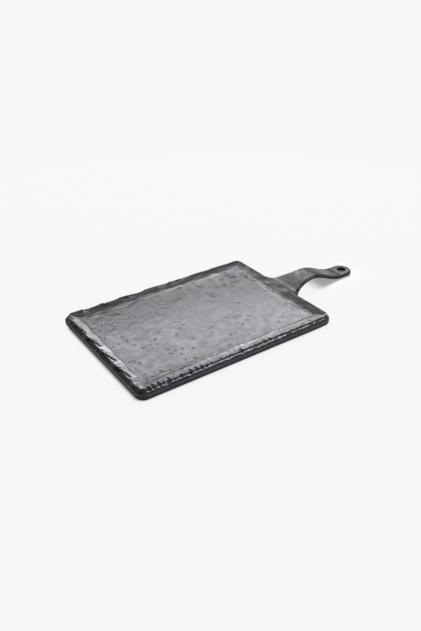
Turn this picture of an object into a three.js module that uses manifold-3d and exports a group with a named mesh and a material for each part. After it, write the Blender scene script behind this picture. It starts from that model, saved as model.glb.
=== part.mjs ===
// A slate-look melamine serving board: an upper moulding with a recessed face, a raised rim and an
// arched handle, a ribbed base moulding bonded under it, and four push-in silicone feet.
// Millimetres, +Z up. The table is z = 0, +X runs towards the handle, and the origin lies under the
// middle of the whole length.
import * as THREE from "three";
import { LoftGeometry } from "three/addons/geometries/LoftGeometry.js";
import { mergeVertices } from "three/addons/utils/BufferGeometryUtils.js";
import Module from "manifold-3d";

const wasm = await Module();
wasm.setup();

// Board: plan size, rim and rounded edges.
const boardLength = 283;
const boardWidth = 200;
const cornerRadius = 11;
const innerCornerRadius = 1.6;
const slopeWidth = 14;
const edgeInset = 3.5;
const edgeRise = 4.8;

// Stack of heights, from the table up to the crest of the rim.
const footLift = 2;
const floorThickness = 3;
const hollowDepth = 5;
const plateThickness = 3.5;
const faceDepth = 2.8;

// Mouldings: sections of the two hollow halves, and the rise of the lower wall above the floor.
const wallThickness = 4;
const lowerWallRise = 3.2;
const lipThickness = 2;
const ribThickness = 2;
const ribSpacing = 38;

// Handle: plan sizes.
const handleReach = 130;
const gripWidth = 29.2;
const flareWidth = 23.4;
const flareLength = 48;
const tipWidth = 29.6;
const tipTaper = 40;
const tipFlat = 2.4;
const rootOverlap = 7;

// Handle: thickness, and its arch. The root drops below the crest of the rim and the crown rises
// above it, and the tip hovers over the table.
const rootThickness = 6.5;
const tipThickness = 4.9;
const handleEdgeRadius = 2.3;
const rootDrop = 2.4;
const rootSlope = 0.2;
const crownReach = 46;
const crownRise = 5.5;
const dipInset = 25;
const tipLift = 0.3;
const tipRise = 0.2;
const holeDiameter = 12;
const holeInset = 13.6;
const holeChamfer = 0.9;

// Feet: a flange in a shallow seat, a neck through the floor and a retaining head inside.
const footDiameter = 15;
const footSeatDepth = 1;
const footEdge = 0.5;
const neckDiameter = 5;
const headDiameter = 8.4;
const headTipDiameter = 4;
const headRoom = 2.7;

// Gap left at every bond line and between every foot and its seat.
const clearance = 0.3;

// Segments per rounded part, and how closely the handle's sections crowd towards its root.
const cornerSegments = 8;
const edgeSegments = 5;
const roundSegments = 32;
const gripStations = 26;
const gripCrowding = 1.4;
const tipStations = 9;
const sectionCornerSegments = 3;

// Most of a section's half size that its corner rounding may take, and the weld of shared points.
const roundingShare = 0.9;
const weldDistance = 1e-4;

// Heights worked out from the stack.
const floorTop = footLift + floorThickness;
const hollowTop = floorTop + hollowDepth;
const rimHeight = hollowTop + plateThickness + faceDepth;
const jointHeight = floorTop + lowerWallRise;
const lipTop = hollowTop - clearance;
const edgeRound = Math.min(edgeRise, (rimHeight - footLift) / 2 - clearance);

// Plan places: the origin lies under the middle of the whole length.
const tipX = (boardLength + handleReach) / 2;
const endWallX = tipX - handleReach;
const boardCentreX = endWallX - boardLength / 2;
const lipInset = wallThickness + clearance;
const pocketInset = lipInset + lipThickness;

// Places along the handle, as distances from the end wall of the board.
const tipRadius = tipWidth / 2;
const tipCentreReach = handleReach - tipRadius;
const dipReach = handleReach - dipInset;
const holeReach = handleReach - holeInset;

const melamine = new THREE.MeshStandardMaterial({ color: 0x3a3b3f, roughness: 0.38, metalness: 0 });
const baseMelamine = new THREE.MeshStandardMaterial({ color: 0x2b2c30, roughness: 0.5, metalness: 0 });
const silicone = new THREE.MeshStandardMaterial({ color: 0x1c1c1e, roughness: 0.75, metalness: 0 });

// Solid of a closed geometry, ready for joining and cutting.
function toSolid(geometry) {
  geometry.deleteAttribute("normal");
  geometry.deleteAttribute("uv");
  const merged = mergeVertices(geometry, weldDistance);
  const triVerts = [];
  for (let i = 0; i < merged.index.count; i += 3) {
    const [a, b, c] = [0, 1, 2].map((k) => merged.index.getX(i + k));
    if (a !== b && b !== c && c !== a) triVerts.push(a, b, c);
  }
  return new wasm.Manifold(
    new wasm.Mesh({
      numProp: 3,
      vertProperties: new Float32Array(merged.attributes.position.array),
      triVerts: new Uint32Array(triVerts),
    }),
  );
}

// Named mesh of a finished solid.
function toMesh(name, solid, material) {
  const { vertProperties, triVerts } = solid.getMesh();
  const geometry = new THREE.BufferGeometry();
  geometry.setAttribute("position", new THREE.BufferAttribute(vertProperties, 3));
  geometry.setIndex(new THREE.BufferAttribute(triVerts, 1));
  const mesh = new THREE.Mesh(geometry, material);
  mesh.name = name;
  return mesh;
}

// Plan outline of the board moved in from its wall, with its corners concentric while they can be.
function boardOutline(inset) {
  const radius = Math.max(cornerRadius - inset, innerCornerRadius);
  const x = boardLength / 2 - inset;
  const y = boardWidth / 2 - inset;
  const shape = new THREE.Shape();
  shape.absarc(boardCentreX + x - radius, y - radius, radius, 0, Math.PI / 2);
  shape.absarc(boardCentreX - x + radius, y - radius, radius, Math.PI / 2, Math.PI);
  shape.absarc(boardCentreX - x + radius, radius - y, radius, Math.PI, 1.5 * Math.PI);
  shape.absarc(boardCentreX + x - radius, radius - y, radius, 1.5 * Math.PI, 2 * Math.PI);
  return shape;
}

// Straight-sided slab of an outline between two heights.
function slab(outline, bottom, top) {
  const options = { depth: top - bottom, bevelEnabled: false, curveSegments: cornerSegments };
  return toSolid(new THREE.ExtrudeGeometry(outline, options).translate(0, 0, bottom));
}

// Block that covers the whole part between two heights, for trimming.
function layer(bottom, top) {
  const length = boardLength + handleReach;
  const block = new THREE.BoxGeometry(2 * length, 2 * boardWidth, top - bottom);
  return toSolid(block.translate(0, 0, (bottom + top) / 2));
}

// Whole board blank, with its upper and lower edges rounded over.
function boardBlank() {
  const options = {
    depth: rimHeight - footLift - 2 * edgeRound,
    bevelThickness: edgeRound,
    bevelSize: edgeInset,
    bevelOffset: -edgeInset,
    bevelSegments: edgeSegments,
    curveSegments: cornerSegments,
  };
  const blank = new THREE.ExtrudeGeometry(boardOutline(0), options);
  return toSolid(blank.translate(0, 0, footLift + edgeRound));
}

// Cutter for the recess: the flat serving face, widening upwards along the inner slope of the rim.
function recessCutter() {
  const options = {
    depth: faceDepth,
    bevelThickness: faceDepth,
    bevelSize: slopeWidth,
    bevelSegments: 1,
    curveSegments: cornerSegments,
  };
  const face = boardOutline(edgeInset + slopeWidth);
  return toSolid(new THREE.ExtrudeGeometry(face, options).translate(0, 0, rimHeight));
}

// Thickness of the handle, tapering evenly from root to tip.
function handleThickness(reach) {
  return THREE.MathUtils.lerp(rootThickness, tipThickness, reach / handleReach);
}

// Smooth arc of the handle's upper surface that arrives level at its end.
function surfaceArc(startReach, startHeight, startSlope, endReach, endHeight) {
  const third = (endReach - startReach) / 3;
  const curve = new THREE.CubicBezierCurve(
    new THREE.Vector2(startReach, startHeight),
    new THREE.Vector2(startReach + third, startHeight + startSlope * third),
    new THREE.Vector2(endReach - third, endHeight),
    new THREE.Vector2(endReach, endHeight),
  );
  return { startReach, endReach, curve };
}

const crownHeight = rimHeight + crownRise;
const dipHeight = tipLift + handleThickness(dipReach);
const surfaceArcs = [
  surfaceArc(0, rimHeight - rootDrop, rootSlope, crownReach, crownHeight),
  surfaceArc(crownReach, crownHeight, 0, dipReach, dipHeight),
  surfaceArc(dipReach, dipHeight, 0, handleReach, dipHeight + tipRise),
];

// Height and tilt of the handle's upper surface at a distance from the end wall.
function handleSurface(reach) {
  const arc = surfaceArcs.find(({ endReach }) => reach <= endReach);
  const share = (reach - arc.startReach) / (arc.endReach - arc.startReach);
  const tangent = arc.curve.getTangent(share);
  return { height: arc.curve.getPoint(share).y, tilt: Math.atan2(tangent.y, tangent.x) };
}

// Half width of the handle in plan: flared at the root, narrow at the grip, wider towards the tip.
function handleHalfWidth(reach) {
  const flareShare = Math.max(0, 1 - reach / flareLength);
  const flare = flareWidth * (1 - Math.sqrt(1 - flareShare ** 2));
  const widening = THREE.MathUtils.smoothstep(reach, tipCentreReach - tipTaper, tipCentreReach);
  return gripWidth / 2 + flare + widening * (tipRadius - gripWidth / 2);
}

// Cross-section of the handle: a rectangle with rounded corners, thinned where the tip rounds off.
function handleSection(reach, halfWidth, edgeDistance) {
  const surface = handleSurface(Math.max(reach, 0));
  const fullHalf = handleThickness(Math.max(reach, 0)) / 2 / Math.cos(surface.tilt);
  const overhang = handleEdgeRadius - Math.min(edgeDistance, handleEdgeRadius);
  const rounding = handleEdgeRadius - Math.sqrt(handleEdgeRadius ** 2 - overhang ** 2);
  const halfHeight = fullHalf - rounding;
  const corner = Math.min(handleEdgeRadius, roundingShare * halfWidth, roundingShare * halfHeight);
  const points = [];
  for (let quarter = 0; quarter < 4; quarter++) {
    const sideY = quarter === 0 || quarter === 3 ? 1 : -1;
    const sideZ = quarter < 2 ? 1 : -1;
    for (let step = 0; step <= sectionCornerSegments; step++) {
      const angle = (quarter + step / sectionCornerSegments) * (Math.PI / 2);
      const y = sideY * (halfWidth - corner) + corner * Math.cos(angle);
      const z = sideZ * (halfHeight - corner) + corner * Math.sin(angle);
      points.push(new THREE.Vector3(endWallX + reach, y, surface.height - fullHalf + z));
    }
  }
  return points;
}

// Handle: sections lofted from inside the rim, over the arch and round the tip.
function handleSolid() {
  const sections = [handleSection(-rootOverlap, handleHalfWidth(0), handleReach)];
  for (let i = 0; i <= gripStations; i++) {
    const reach = tipCentreReach * (i / gripStations) ** gripCrowding;
    sections.push(handleSection(reach, handleHalfWidth(reach), handleReach));
  }
  for (let i = 1; i <= tipStations; i++) {
    const angle = (i / tipStations) * (Math.PI / 2);
    const reach = Math.min(tipCentreReach + tipRadius * Math.sin(angle), handleReach);
    const halfWidth = Math.max(tipRadius * Math.cos(angle), tipFlat / 2);
    sections.push(handleSection(reach, halfWidth, handleReach - reach));
  }
  const loft = new LoftGeometry(sections, { capStart: true, capEnd: true });
  return toSolid(new THREE.BufferGeometry().copy(loft));
}

// Cutter for the hanging hole, chamfered where it leaves both surfaces of the tip.
function hangingHoleCutter() {
  const top = handleSurface(holeReach).height;
  const bottom = top - handleThickness(holeReach);
  const radius = holeDiameter / 2;
  const wide = radius + 2 * holeChamfer;
  const profile = [
    new THREE.Vector2(0, bottom - holeChamfer),
    new THREE.Vector2(wide, bottom - holeChamfer),
    new THREE.Vector2(radius, bottom + holeChamfer),
    new THREE.Vector2(radius, top - holeChamfer),
    new THREE.Vector2(wide, top + holeChamfer),
    new THREE.Vector2(0, top + holeChamfer),
  ];
  const cutter = new THREE.LatheGeometry(profile, roundSegments);
  return toSolid(cutter.rotateX(Math.PI / 2).translate(endWallX + holeReach, 0, 0));
}

// Upper moulding: recessed face, rim, upper half of the wall and the handle, hollow underneath.
function upperMoulding() {
  const lowerHalf = slab(boardOutline(-clearance), 0, jointHeight + clearance);
  const upperHalf = boardBlank().subtract(lowerHalf);
  const hollow = slab(boardOutline(wallThickness), 0, hollowTop);
  const shell = upperHalf.add(handleSolid().subtract(lowerHalf)).subtract(recessCutter());
  const solid = shell.subtract(hollow).subtract(hangingHoleCutter());
  return toMesh("upper_moulding", solid, melamine);
}

// Middles and size of the equal pockets that ribs leave across a span, near the wanted spacing.
function pocketRow(span) {
  const count = Math.max(2, Math.round(span / ribSpacing));
  const pitch = (span + ribThickness) / count;
  const first = (pitch - span - ribThickness) / 2;
  const middles = Array.from({ length: count }, (_, i) => first + i * pitch);
  return { middles, size: pitch - ribThickness };
}

const pocketColumns = pocketRow(boardLength - 2 * pocketInset);
const pocketRows = pocketRow(boardWidth - 2 * pocketInset);

// Each foot sits in the middle of a corner pocket.
const footPlaces = [
  { name: "foot_front_left", column: 0, row: 0 },
  { name: "foot_front_right", column: -1, row: 0 },
  { name: "foot_back_left", column: 0, row: -1 },
  { name: "foot_back_right", column: -1, row: -1 },
].map(({ name, column, row }) => ({
  name,
  x: boardCentreX + pocketColumns.middles.at(column),
  y: pocketRows.middles.at(row),
}));

// Seat and neck hole of one foot, cut through the floor of the base moulding.
function footSocketCutter() {
  const seatTop = footLift + footSeatDepth;
  const seatRadius = footDiameter / 2 + clearance;
  const holeRadius = neckDiameter / 2 + clearance;
  const profile = [
    new THREE.Vector2(0, 0),
    new THREE.Vector2(seatRadius, 0),
    new THREE.Vector2(seatRadius, seatTop),
    new THREE.Vector2(holeRadius, seatTop),
    new THREE.Vector2(holeRadius, hollowTop),
    new THREE.Vector2(0, hollowTop),
  ];
  return new THREE.LatheGeometry(profile, roundSegments).rotateX(Math.PI / 2);
}

// Base moulding: floor, lower half of the wall, a locating lip and a grid of ribs between pockets.
function baseMoulding() {
  const belowJoint = layer(0, jointHeight);
  const aboveFloor = slab(boardOutline(wallThickness), floorTop, rimHeight);
  const lipBlock = slab(boardOutline(lipInset), floorTop - floorThickness / 2, lipTop);
  const pocketSpace = slab(boardOutline(pocketInset), floorTop, rimHeight);
  let solid = boardBlank().intersect(belowJoint).subtract(aboveFloor).add(lipBlock);
  for (const x of pocketColumns.middles) {
    for (const y of pocketRows.middles) {
      const block = new THREE.BoxGeometry(pocketColumns.size, pocketRows.size, 2 * rimHeight);
      const pocket = toSolid(block.translate(boardCentreX + x, y, 0)).intersect(pocketSpace);
      solid = solid.subtract(pocket);
    }
  }
  for (const { x, y } of footPlaces) {
    solid = solid.subtract(toSolid(footSocketCutter().translate(x, y, 0)));
  }
  return toMesh("base_moulding", solid, baseMelamine);
}

// Foot: a turned silicone plug that rests on the table and is pulled into its socket by its head.
function foot({ name, x, y }) {
  const flangeTop = footLift + footSeatDepth - clearance;
  const headBottom = floorTop + clearance;
  const headTop = hollowTop - headRoom;
  const flangeRadius = footDiameter / 2;
  const profile = [
    new THREE.Vector2(0, 0),
    new THREE.Vector2(flangeRadius - footEdge, 0),
    new THREE.Vector2(flangeRadius, footEdge),
    new THREE.Vector2(flangeRadius, flangeTop),
    new THREE.Vector2(neckDiameter / 2, flangeTop),
    new THREE.Vector2(neckDiameter / 2, headBottom),
    new THREE.Vector2(headDiameter / 2, headBottom),
    new THREE.Vector2(headTipDiameter / 2, headTop),
    new THREE.Vector2(0, headTop),
  ];
  const plug = new THREE.LatheGeometry(profile, roundSegments).rotateX(Math.PI / 2);
  return toMesh(name, toSolid(plug.translate(x, y, 0)), silicone);
}

const servingBoard = new THREE.Group();
servingBoard.add(upperMoulding(), baseMoulding(), ...footPlaces.map(foot));

export default servingBoard;
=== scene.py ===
# %% [markdown]
# Melamine serving board
#
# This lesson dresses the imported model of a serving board: a flat tray pressed in dark melamine to look
# like split slate, with an arched handle, on four silicone feet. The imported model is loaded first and
# stays fixed. Every visible piece is then built over it, in the same place and at the same size.
# Lengths are written in millimetres, as on a drawing, and become Blender's metres when a mesh is made.
# Only the camera, the studio, the materials and the node trees are in metres from the start.

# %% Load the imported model
import math

import bmesh
import bpy
import numpy as np
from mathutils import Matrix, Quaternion, Vector
from mathutils.geometry import delaunay_2d_cdt
from mathutils.kdtree import KDTree


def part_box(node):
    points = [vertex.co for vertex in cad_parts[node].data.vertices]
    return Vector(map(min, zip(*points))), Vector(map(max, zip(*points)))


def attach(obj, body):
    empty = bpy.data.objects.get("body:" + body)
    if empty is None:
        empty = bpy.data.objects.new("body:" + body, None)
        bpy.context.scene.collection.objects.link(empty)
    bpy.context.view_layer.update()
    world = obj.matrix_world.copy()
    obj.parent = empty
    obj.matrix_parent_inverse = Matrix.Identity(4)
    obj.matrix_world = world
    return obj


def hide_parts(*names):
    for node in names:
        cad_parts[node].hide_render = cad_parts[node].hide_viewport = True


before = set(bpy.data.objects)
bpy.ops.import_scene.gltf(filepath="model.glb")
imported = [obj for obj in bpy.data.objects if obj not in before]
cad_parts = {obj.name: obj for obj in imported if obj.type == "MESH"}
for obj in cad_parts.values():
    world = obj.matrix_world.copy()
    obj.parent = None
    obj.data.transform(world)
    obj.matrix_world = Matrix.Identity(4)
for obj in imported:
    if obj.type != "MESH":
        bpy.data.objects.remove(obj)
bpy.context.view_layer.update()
scene = bpy.context.scene
scene.view_settings.view_transform = "Standard"
print("nodes:", sorted(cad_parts))

# %% [markdown]
# The camera
#
# The photograph looks down on the board at 31 degrees, 35 degrees round from its long side. A camera can
# be aimed with a Track To constraint, but a rotation worked out once needs nothing live in the scene.
# The vector `toward_camera` points from the board to the lens, and a camera looks along its own -Z.

# %% Camera at the photograph's viewing angle
view_azimuth = math.radians(-35.04)
view_elevation = math.radians(31.08)
view_target, view_distance = Vector((-0.03773, 0.01007, 0)), 0.82273
toward_camera = Vector((
    math.sin(view_azimuth) * math.cos(view_elevation),
    -math.cos(view_azimuth) * math.cos(view_elevation),
    math.sin(view_elevation),
))


def linked(name, data):
    """A new object in the scene that holds a mesh, a light or a camera."""
    made = bpy.data.objects.new(name, data)
    scene.collection.objects.link(made)
    return made


camera_data = bpy.data.cameras.new("photo_camera")
camera_data.sensor_width = 36
camera_data.lens = 35.51
camera = linked("photo_camera", camera_data)
camera.location = view_target + view_distance * toward_camera
camera.rotation_euler = toward_camera.to_track_quat("Z", "Y").to_euler()
scene.camera = camera
print("camera at", [round(value, 3) for value in camera.location])

# %% [markdown]
# Helpers for node trees
#
# Shader trees and Geometry Nodes trees are built in the same way: make a node, fill its sockets with a
# number or with a link, and use what comes out. These helpers keep each later cell short, so that a
# formula in nodes reads nearly like a formula on paper.

# %% Node helpers: nodes and sockets
def fill(tree, socket, value):
    """Puts a number, a colour or another node's output on a socket."""
    if isinstance(value, bpy.types.NodeSocket):
        tree.links.new(value, socket)
    else:
        socket.default_value = value


def node(tree, kind, inputs=None, **settings):
    """Makes a node, sets its options, then fills the named sockets."""
    made = tree.nodes.new(kind)
    for option, value in settings.items():
        setattr(made, option, value)
    for name, value in (inputs or {}).items():
        fill(tree, made.inputs[name], value)
    return made


print("node helpers ready")


# %% Node helpers: arithmetic and mixing
def calc(tree, operation, *values, clamp=False):
    """One step of arithmetic on numbers or node outputs."""
    made = node(tree, "ShaderNodeMath", dict(enumerate(values)), operation=operation, use_clamp=clamp)
    return made.outputs[0]


def vector(tree, operation, *values):
    """One step of arithmetic on places or colours."""
    made = node(tree, "ShaderNodeVectorMath", dict(enumerate(values)), operation=operation)
    return made.outputs["Value" if operation == "LENGTH" else "Vector"]


def scaled(tree, value, amount):
    """A colour or a direction times a number."""
    return node(tree, "ShaderNodeVectorMath", {0: value, "Scale": amount}, operation="SCALE").outputs[0]


def ramp(tree, value, low, high, from_value=0.0, to_value=1.0):
    """Goes smoothly from one value to another while the input goes from low to high."""
    made = node(tree, "ShaderNodeMapRange", {
        "Value": value, "From Min": low, "From Max": high, "To Min": from_value, "To Max": to_value,
    }, interpolation_type="SMOOTHSTEP")
    return made.outputs["Result"]


def mix(tree, share, first, second):
    """Goes from one colour to another as the share goes from 0 to 1."""
    return node(tree, "ShaderNodeMix", {"Factor": share, 6: first, 7: second}, data_type="RGBA").outputs[2]


def blend(tree, share, first, second):
    """Goes from one shader to another as the share goes from 0 to 1."""
    return node(tree, "ShaderNodeMixShader", {0: share, 1: first, 2: second}).outputs[0]


print("arithmetic helpers ready")

# %% [markdown]
# The studio
#
# Dark gloss has hardly any colour of its own: what shows is the room it mirrors. The photograph has a pale
# table, soft boxes behind the board, a strip light at the front right, and a dark room round them. So the
# serving face mirrors the high box as a soft grey, the left and near slopes catch the lower boxes, the near
# edge shines, and every edge that leans to the left is black. The boxes are area lights that only mirrors
# see. One more light without a reflection lights the table from the back right, so the board stands in its
# own shadow at the front left. The dark room is five grey cards that only mirrors see.
#
# The table shows the lens an even paper white, from Light Path. Close to the board this gives way to the
# lit paper, so that the contact shadow stays. To mirrors the table has painted shade close to the board,
# along the handle and behind it, which keeps the walls and the far edges dark. Seen from below the table is
# clear.

# %% World
paper_white = (0.93, 0.93, 0.93, 1)
world = bpy.data.worlds.new("pale_room")
world.use_nodes = True
scene.world = world
room = world.node_tree
room.nodes.clear()


def seen_by(tree):
    """Two switches: 1 where the lens sees a place, and 1 where a mirror or glass shows it."""
    ray = node(tree, "ShaderNodeLightPath").outputs
    return ray["Is Camera Ray"], calc(tree, "MAXIMUM", ray["Is Glossy Ray"], ray["Is Transmission Ray"])


lens, mirrors = seen_by(room)
room_light = node(room, "ShaderNodeBackground", {"Color": (1, 1, 1, 1), "Strength": 0.16}).outputs[0]
backdrop = node(room, "ShaderNodeBackground", {"Color": paper_white, "Strength": 1.0}).outputs[0]
surroundings = blend(room, calc(room, "MAXIMUM", lens, mirrors), room_light, backdrop)
fill(room, node(room, "ShaderNodeOutputWorld").inputs[0], surroundings)
print("world:", len(room.nodes), "nodes")

# %% Floor: paper, and distances on the table
floor_material = bpy.data.materials.new("paper_floor")
floor_material.use_nodes = True
floor_material.cycles.emission_sampling = "NONE"
paper = floor_material.node_tree
paper.nodes.clear()
table_place = node(paper, "ShaderNodeTexCoord").outputs["Object"]
paper_grain = node(paper, "ShaderNodeTexNoise", {"Vector": table_place, "Scale": 60.0, "Detail": 2.0})
paper_tint = mix(paper, paper_grain.outputs["Fac"], (0.925, 0.925, 0.925, 1), (0.935, 0.935, 0.935, 1))


def from_block(middle, half_size):
    """Distance of a place on the table from a block that stands on it."""
    apart = vector(paper, "ABSOLUTE", vector(paper, "SUBTRACT", table_place, middle))
    outside = vector(paper, "MAXIMUM", vector(paper, "SUBTRACT", apart, half_size), (0, 0, 0))
    return vector(paper, "LENGTH", outside)


# Each block is a middle and half a size in metres, tall enough that only its plan counts.
from_board = from_block((-0.068, -0.0006, 0), (0.126, 0.0835, 1))
from_arm = from_block((0.140, 0, 0), (0.062, 0.013, 1))
from_low_arm = from_block((0.178, 0, 0), (0.030, 0.012, 1))
from_tip = from_block((0.191, 0, 0), (0.002, 0.0, 1))
from_middle = vector(paper, "LENGTH", table_place)
behind = node(paper, "ShaderNodeSeparateXYZ", {"Vector": table_place}).outputs["Y"]
print("floor distances:", len(paper.nodes), "nodes")

# %% Floor: the lit paper, the even white, and painted shade for mirrors
lens, mirrors = seen_by(paper)
# Painted shade for mirrors: close to the board, along the handle and behind it, the table's colour is
# darkened where mirrors see it.
behind_share = ramp(paper, behind, 0.02, 0.12, 1.0, 0.25)
lit_share = calc(paper, "MINIMUM", ramp(paper, from_board, 0.0, 0.05, 0.6, 1.0), behind_share)
lit_share = calc(paper, "MINIMUM", lit_share, ramp(paper, from_arm, 0.0, 0.07, 0.05, 1.0))
painted_shade_for_mirrors = calc(paper, "MULTIPLY", mirrors, calc(paper, "SUBTRACT", 1.0, lit_share))
table_tint_with_painted_shade = scaled(paper, paper_tint, calc(paper, "SUBTRACT", 1.0, painted_shade_for_mirrors))
lit_paper = node(paper, "ShaderNodeBsdfDiffuse", {"Color": table_tint_with_painted_shade}).outputs[0]
even_white = node(paper, "ShaderNodeEmission", {"Color": paper_white, "Strength": 1.0}).outputs[0]

far_off = ramp(paper, from_middle, 0.3, 0.75)
lens_share = ramp(paper, calc(paper, "MINIMUM", from_board, from_tip), 0.008, 0.0145, 0.06, 0.97)
lens_share = calc(paper, "MINIMUM", lens_share, ramp(paper, from_low_arm, 0.0, 0.03, 0.35, 0.97))
mirror_share = ramp(paper, calc(paper, "MINIMUM", from_board, from_arm), 0.0, 0.05, 0.0, 0.75)
to_lens = calc(paper, "MULTIPLY", lens, calc(paper, "MAXIMUM", lens_share, far_off))
to_mirrors = calc(paper, "MULTIPLY", mirrors, calc(paper, "MAXIMUM", mirror_share, far_off))
# Painted shade for mirrors: behind the board the even white gives way to the darkened table.
to_mirrors = calc(paper, "MULTIPLY", to_mirrors, behind_share)
from_above = blend(paper, calc(paper, "MAXIMUM", to_lens, to_mirrors), lit_paper, even_white)
underneath = node(paper, "ShaderNodeNewGeometry").outputs["Backfacing"]
clear = node(paper, "ShaderNodeBsdfTransparent").outputs[0]
fill(paper, node(paper, "ShaderNodeOutputMaterial").inputs[0], blend(paper, underneath, from_above, clear))

bpy.ops.mesh.primitive_circle_add(vertices=64, radius=9, fill_type="NGON")
floor = bpy.context.object
floor.name = "paper_floor"
floor.data.materials.append(floor_material)
print("floor of", len(floor.data.vertices), "corners,", len(paper.nodes), "nodes")

# %% Soft boxes, strip light and table light
board_spot = Vector((-0.04, 0, 0.012))


def area_light(name, toward, distance, width, height, brightness, mirrored=True, roll=0.0):
    """A soft rectangular light. Its brightness is that of its own surface, where 1 is full white."""
    light = bpy.data.lights.new(name, "AREA")
    light.shape = "RECTANGLE"
    light.size = width
    light.size_y = height
    light.energy = brightness * width * height * math.pi
    lamp = linked(name, light)
    lamp.location = board_spot + distance * Vector(toward).normalized()
    turn = Vector(toward).to_track_quat("Z", "Y") @ Quaternion((0, 0, 1), math.radians(roll))
    lamp.rotation_euler = turn.to_euler()
    lamp.visible_glossy = mirrored
    lamp.visible_diffuse = not mirrored
    lamp.visible_camera = False


# Name, direction from the board, distance, width, height and brightness.
area_light("soft_box_high", (0.446, 0.686, 0.575), 2.9, 2.13, 0.50, 6.9, roll=11)
area_light("soft_box_middle", (0.566, 0.757, 0.326), 2.9, 0.46, 0.30, 5.6)
area_light("soft_box_near", (0.399, 0.735, 0.303), 0.89, 0.25, 0.13, 3.1)
area_light("soft_box_low", (0.498, 0.828, 0.259), 2.6, 1.30, 0.73, 2.1)
area_light("strip_front_right", (0.49, -0.55, 0.66), 1.7, 0.80, 0.52, 15.0)
area_light("overhead_fill", (0.42, 0.42, 1.0), 5.0, 2.4, 2.4, 15.2, mirrored=False)
print("lights:", len(bpy.data.lights))


# %% The dark room
def room_card(name, level, corners):
    """A grey wall that only mirrors see. Its level is how bright it looks, where 1 is full white."""
    sheet = bpy.data.meshes.new(name)
    sheet.from_pydata(corners, [], [(0, 1, 2, 3)])
    card = linked(name, sheet)
    card.visible_camera = False
    card.visible_diffuse = False
    card.visible_shadow = False
    grey = bpy.data.materials.new(name)
    grey.use_nodes = True
    grey.cycles.emission_sampling = "NONE"
    tree = grey.node_tree
    tree.nodes.clear()
    glow = node(tree, "ShaderNodeEmission", {"Color": (1, 1, 1, 1), "Strength": level})
    fill(tree, node(tree, "ShaderNodeOutputMaterial").inputs[0], glow.outputs[0])
    sheet.materials.append(grey)


low, high, side = 0.5, 2.4, 2.7
left_front, right_front, right_back, left_back = (-side, -side), (side, -side), (side, side), (-side, side)
for name, level, start, stop in (
    ("room_back", 0.05, left_back, right_back), ("room_left", 0.03, left_front, left_back),
    ("room_front", 0.40, left_front, right_front), ("room_right", 0.30, right_front, right_back),
):
    room_card(name, level, [(*start, low), (*stop, low), (*stop, high), (*start, high)])
room_card("room_ceiling", 0.05, [
    (*corner, high) for corner in (left_front, right_front, right_back, left_back)
])

# %% [markdown]
# Melamine up close
#
# Pressed melamine is a hard resin filled with paper pulp. Its skin takes the grain of the mould: faint
# clouds where the powder flowed, fine specks, and small pits. The tray and its base are the same resin
# from two moulds, so the grain is one shader group, placed in each material with its own sizes. A group
# gives out only values. The Principled shader stays in the material, where the export can read it.
#
# The material also reads two attributes that the tray gets later. Where the slate is dull, its polish is
# patchy and shade is painted into it, deepening its colour. Where it is even, its pits are shallow.

# %% Shader group: melamine grain
def shader_group(name, inputs, outputs):
    """An empty shader group with named number sockets."""
    group = bpy.data.node_groups.new(name, "ShaderNodeTree")
    for label, value in inputs.items():
        socket = group.interface.new_socket(label, in_out="INPUT", socket_type="NodeSocketFloat")
        socket.default_value = value
    for label in outputs:
        group.interface.new_socket(label, in_out="OUTPUT", socket_type="NodeSocketFloat")
    return group, node(group, "NodeGroupInput").outputs, node(group, "NodeGroupOutput").inputs


melamine_grain, grain_in, grain_out = shader_group(
    "melamine_grain",
    {"Cloud size": 0.02, "Speck size": 0.0012, "Pit spacing": 0.006, "Pit share": 0.4},
    ["Tint", "Gloss", "Height", "Fleck"],
)


def noise(tree, size, detail=3.0, rough=0.55):
    """Noise whose spots are about as wide as the given size in metres."""
    place = node(tree, "ShaderNodeTexCoord").outputs["Object"]
    return node(tree, "ShaderNodeTexNoise", {
        "Vector": place, "Scale": calc(tree, "DIVIDE", 1.0, size), "Detail": detail, "Roughness": rough,
    }).outputs["Fac"]


clouds = noise(melamine_grain, grain_in["Cloud size"], 2.0, 0.5)
specks = noise(melamine_grain, grain_in["Speck size"], 2.0, 0.5)
print("melamine_grain sockets:", [item.name for item in melamine_grain.interface.items_tree])

# %% Shader group: pits
pit_place = node(melamine_grain, "ShaderNodeTexCoord").outputs["Object"]
pit_bend = node(melamine_grain, "ShaderNodeTexNoise", {"Vector": pit_place, "Scale": 210.0, "Detail": 2.0})
pit_stretch = (0.0052, 0.0036, 0.0)
pits = node(melamine_grain, "ShaderNodeTexVoronoi", {
    "Vector": vector(melamine_grain, "MULTIPLY_ADD", pit_bend.outputs["Color"], pit_stretch, pit_place),
    "Scale": calc(melamine_grain, "DIVIDE", 1.0, grain_in["Pit spacing"]),
}).outputs
pit_chance, pit_size = node(melamine_grain, "ShaderNodeSeparateColor", {"Color": pits["Color"]}).outputs[:2]
pit_radius = calc(melamine_grain, "MULTIPLY_ADD", pit_size, 0.9, 0.65)
pit_reach = calc(melamine_grain, "DIVIDE", pits["Distance"], pit_radius)
pit_chosen = calc(melamine_grain, "LESS_THAN", pit_chance, grain_in["Pit share"])
pit_bowl = ramp(melamine_grain, pit_reach, 0.02, 0.30, 1.0, 0.0)
pit_mask = calc(melamine_grain, "MULTIPLY", pit_bowl, pit_chosen)

cloud_tint = ramp(melamine_grain, clouds, 0.3, 0.7)
speck_tint = calc(melamine_grain, "MULTIPLY_ADD", specks, 0.5, -0.25)
grain_tint_and_pit_shade = calc(melamine_grain, "ADD", cloud_tint, speck_tint)
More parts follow.
